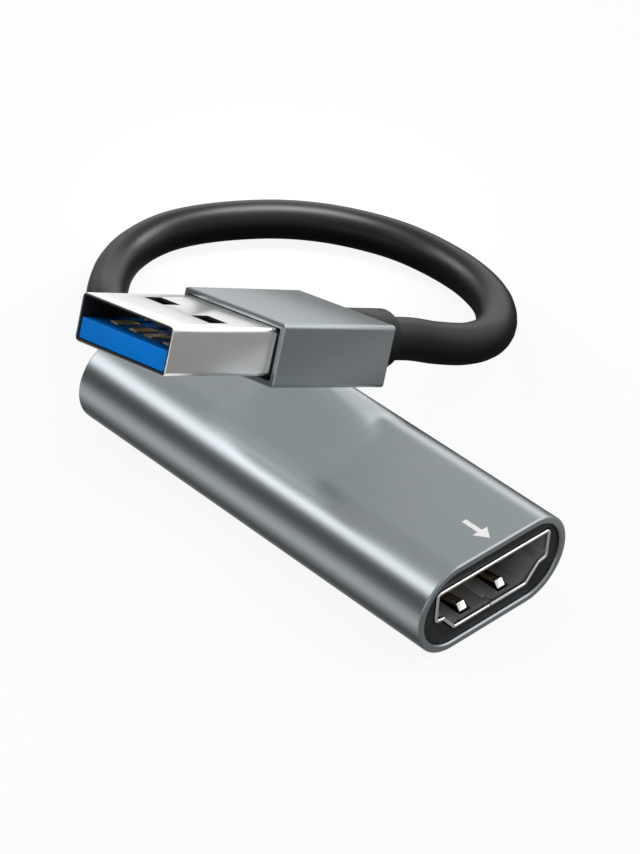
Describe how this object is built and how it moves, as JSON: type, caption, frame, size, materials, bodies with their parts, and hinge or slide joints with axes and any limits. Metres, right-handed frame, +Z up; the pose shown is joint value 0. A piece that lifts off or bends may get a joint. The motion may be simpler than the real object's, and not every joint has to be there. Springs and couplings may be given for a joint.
{
  "type": "video capture stick",
  "caption": "Flat aluminium sleeve with a video socket at its front and a short captive cord that ends in a data plug; it turns a video signal into a data stream.",
  "frame": {"origin": "under the middle of the sleeve, on the surface that it rests on", "axes": "+X across the sleeve to the right as seen from its socket, +Y along the sleeve from the socket to the cord, +Z up"},
  "size_m": [0.0588, 0.0669, 0.0274],
  "materials": {
    "grey_aluminium": "satin grey anodised",
    "black_plastic": "fine matt",
    "nickel_steel": "bright nickel",
    "gold_contact": "thin gold plate",
    "blue_plastic": "semi-gloss",
    "cord_jacket": "satin",
    "board_laminate": "solder mask",
    "chip_resin": "matt moulded",
    "tinned_lead": "tinned",
    "ferrite": "matt sintered",
    "ceramic": "matt fired",
    "wire_red": "satin",
    "wire_white": "satin",
    "wire_green": "satin",
    "wire_black": "satin"
  },
  "bodies": {
    "stick": {"body_sleeve": "grey_aluminium", "front_bezel": "black_plastic", "rear_cap": "black_plastic", "main_board": "board_laminate", "socket_shell": "nickel_steel", "socket_insulator": "black_plastic", "socket_upper_contacts": "gold_contact", "socket_lower_contacts": "gold_contact", "surge_arrays": "chip_resin", "capture_chip": "chip_resin", "crystal": "nickel_steel", "flash_chip": "chip_resin", "flash_leads": "tinned_lead", "regulator": "chip_resin", "regulator_leads": "tinned_lead", "power_inductors": "ferrite", "capacitors": "ceramic", "resistors": "chip_resin", "wire_pads": "gold_contact", "wire_red": "wire_red", "wire_white": "wire_white", "wire_green": "wire_green", "wire_black": "wire_black", "strain_relief": "cord_jacket", "cord": "cord_jacket", "plug_housing": "grey_aluminium", "plug_shell": "nickel_steel", "plug_insulator": "blue_plastic", "plug_front_contacts": "gold_contact", "plug_rear_contacts": "gold_contact", "plug_spacer": "black_plastic", "plug_collar": "cord_jacket", "plug_wire_red": "wire_red", "plug_wire_white": "wire_white", "plug_wire_green": "wire_green", "plug_wire_black": "wire_black"},
    "finger_left": {"spring_finger_left": "nickel_steel"},
    "finger_right": {"spring_finger_right": "nickel_steel"}
  },
  "joints": [
    {"name": "finger_left_flex", "type": "hinge", "parent": "stick", "child": "finger_left", "pos_m": [-0.0025, -0.01745, 0.00222], "axis": [1, 0, 0], "range_deg": [0, 8.5], "stiffness_Nm_per_rad": 0.3},
    {"name": "finger_right_flex", "type": "hinge", "parent": "stick", "child": "finger_right", "pos_m": [0.0025, -0.01745, 0.00222], "axis": [1, 0, 0], "range_deg": [0, 8.5], "stiffness_Nm_per_rad": 0.3}
  ]
}
